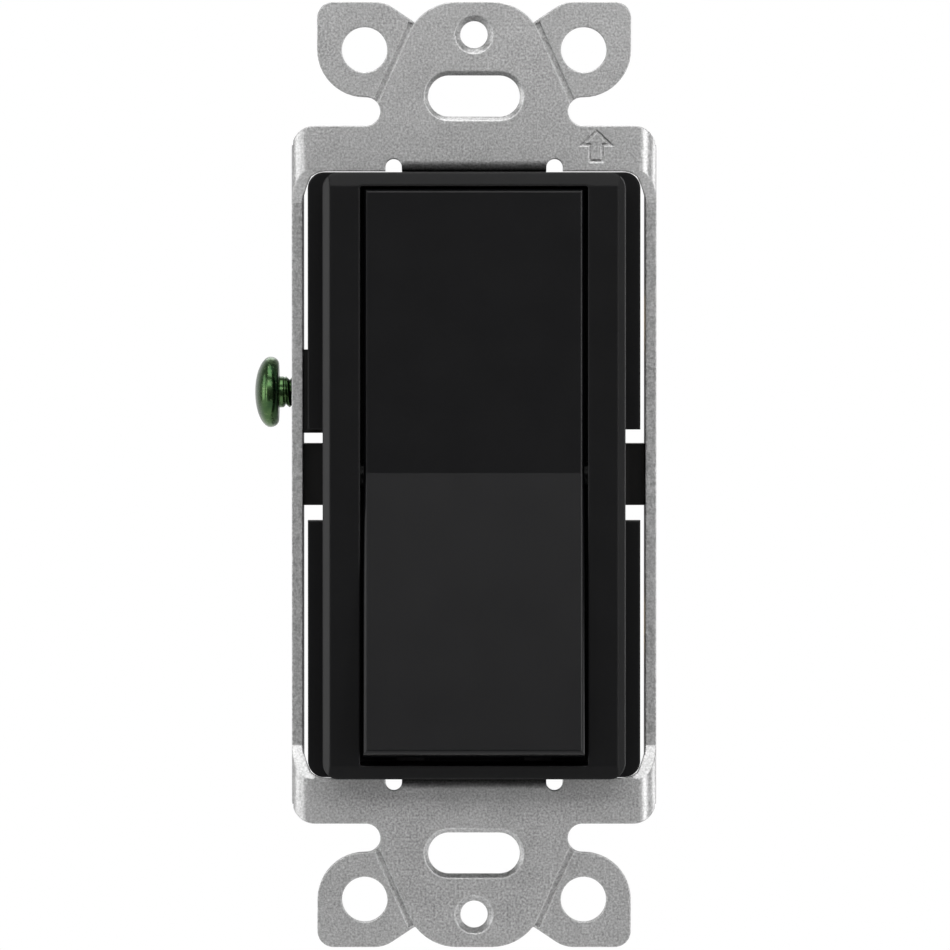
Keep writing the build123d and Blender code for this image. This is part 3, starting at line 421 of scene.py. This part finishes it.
def housing_screws(zinc):
    """Four pan-head screws with cross recesses in the housing's back, as one piece."""
    low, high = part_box("housing_screws")
    tip, back = low[1], high[1]
    under = back - HOUSING_HEAD
    along_y = Matrix(((0, 0, 1, 0), (1, 0, 0, 0), (0, 1, 0, 0), (0, 0, 0, 1)))
    rings = [(tip, HOUSING_TIP_R, 0.0)]
    thread_start = tip + HOUSING_TIP_LENGTH
    rings += thread_rings(thread_start, under - NECK_STEP, HOUSING_SHANK_R, HOUSING_THREAD_DEPTH)
    rings += [(under, HOUSING_SHANK_R, 0.0), (under, HOUSING_HEAD_R, 0.0)]
    rings += rounded_edge(back, HOUSING_HEAD_R, HOUSING_EDGE_R, HOUSING_EDGE_STEPS)
    joined = bmesh.new()
    for x in (low[0] + HOUSING_HEAD_R, high[0] - HOUSING_HEAD_R):
        for z in (low[2] + HOUSING_HEAD_R, high[2] - HOUSING_HEAD_R):
            place = Matrix.Translation((x, 0, z)) @ along_y
            screw = lathe("housing_screw", rings, place, HOUSING_SEGMENTS)
            cut(screw, Vector((x, back, z)), (CROSS_LENGTH, 2 * CROSS_DEPTH, CROSS_WIDTH))
            cut(screw, Vector((x, back, z)), (CROSS_WIDTH, 2 * CROSS_DEPTH, CROSS_LENGTH))
            joined.from_mesh(screw.data)
            bpy.data.objects.remove(screw)
    piece = piece_of("housing_screws_crossed", joined)
    finish_piece(piece, "housing_screws", "root", zinc)


def area_light(name, azimuth, elevation, distance, size, radiance):
    """Soft rectangular light aimed at the origin; azimuth turns from the front to the right, in degrees."""
    data = bpy.data.lights.new(name, "AREA")
    data.shape = "RECTANGLE"
    data.size, data.size_y = size
    data.energy = radiance * math.pi * size[0] * size[1]
    light = bpy.data.objects.new(name, data)
    turn, rise = math.radians(azimuth), math.radians(elevation)
    away = Vector((math.sin(turn) * math.cos(rise), -math.cos(turn) * math.cos(rise), math.sin(rise)))
    light.location = away * distance
    light.rotation_euler = away.to_track_quat("Z", "Y").to_euler()
    light.visible_camera = False
    bpy.context.collection.objects.link(light)


def world():
    """World that the camera sees as white, and that lights the object more dimly."""
    studio_world = bpy.data.worlds.new("studio_world")
    bpy.context.scene.world = studio_world
    studio_world.use_nodes = True
    nodes, links = studio_world.node_tree.nodes, studio_world.node_tree.links
    nodes.clear()
    output = nodes.new("ShaderNodeOutputWorld")
    seen = nodes.new("ShaderNodeBackground")
    seen.inputs["Color"].default_value = (1.0, 1.0, 1.0, 1.0)
    lit = nodes.new("ShaderNodeBackground")
    lit.inputs["Color"].default_value = (1.0, 1.0, 1.0, 1.0)
    towards = nodes.new("ShaderNodeSeparateXYZ")
    links.new(nodes.new("ShaderNodeTexCoord").outputs["Generated"], towards.inputs["Vector"])
    glow = nodes.new("ShaderNodeMath")
    glow.operation = "ADD"
    links.new(map_range(nodes, links, towards.outputs["Z"], -0.35, 0.5, 0.10, 0.34), glow.inputs[0])
    links.new(map_range(nodes, links, towards.outputs["Y"], 0.35, 0.85, 0.0, 0.6), glow.inputs[1])
    links.new(glow.outputs["Value"], lit.inputs["Strength"])
    path = nodes.new("ShaderNodeLightPath")
    mix = nodes.new("ShaderNodeMixShader")
    links.new(path.outputs["Is Camera Ray"], mix.inputs["Fac"])
    links.new(lit.outputs["Background"], mix.inputs[1])
    links.new(seen.outputs["Background"], mix.inputs[2])
    links.new(mix.outputs["Shader"], output.inputs["Surface"])


def lights():
    """Soft boxes round the object."""
    area_light("softbox_front", -8, 29, 1.7, (1.9, 0.52), 3.8)
    area_light("softbox_top", -10, 74, 1.4, (1.2, 1.0), 3.4)
    area_light("softbox_left", -88, 4, 1.6, (0.80, 1.6), 2.7)
    area_light("softbox_left_front", -52, 4, 1.6, (0.36, 1.6), 3.0)
    area_light("softbox_right", 46, 4, 1.6, (0.40, 1.6), 6.0)
    area_light("softbox_right_side", 118, 4, 1.6, (0.80, 1.6), 2.8)
    area_light("softbox_back", 180, 35, 1.8, (1.2, 0.80), 1.5)


def floor_plane():
    """Plain pale floor below the object."""
    mesh = bpy.data.meshes.new("floor")
    mesh.from_pydata(
        [
            (-FLOOR_HALF, FLOOR_FRONT_Y, FLOOR_Z), (FLOOR_HALF, FLOOR_FRONT_Y, FLOOR_Z),
            (FLOOR_HALF, FLOOR_HALF, FLOOR_Z), (-FLOOR_HALF, FLOOR_HALF, FLOOR_Z),
        ],
        [], [(0, 1, 2, 3)],
    )
    floor = bpy.data.objects.new("floor", mesh)
    bpy.context.collection.objects.link(floor)
    surface = bpy.data.materials.new("floor_pale")
    shader = nodes_of(surface)[2]
    shader.inputs["Base Color"].default_value = (0.8, 0.8, 0.8, 1.0)
    shader.inputs["Roughness"].default_value = 0.8
    mesh.materials.append(surface)


def camera():
    """Long-lens camera straight in front of the switch."""
    data = bpy.data.cameras.new("camera")
    data.sensor_width = SENSOR
    data.lens = SENSOR * CAMERA_DISTANCE / VIEW_SPAN
    data.clip_start = 0.01
    data.clip_end = 20.0
    eye = bpy.data.objects.new("camera", data)
    back = Vector((
        math.sin(CAMERA_YAW) * math.cos(CAMERA_PITCH),
        -math.cos(CAMERA_YAW) * math.cos(CAMERA_PITCH),
        math.sin(CAMERA_PITCH),
    ))
    eye.location = TARGET + back * CAMERA_DISTANCE
    eye.rotation_euler = (-back).to_track_quat("-Z", "Y").to_euler()
    bpy.context.collection.objects.link(eye)
    bpy.context.scene.camera = eye
    bpy.context.scene.view_settings.view_transform = "Standard"


finishes = paint_nodes()
ground_screw(finishes["green_screw"])
for end in ("upper", "lower"):
    terminal_screw(end, finishes["brass_screw"])
housing_screws(finishes["zinc_steel"])
world()
lights()
floor_plane()
camera()
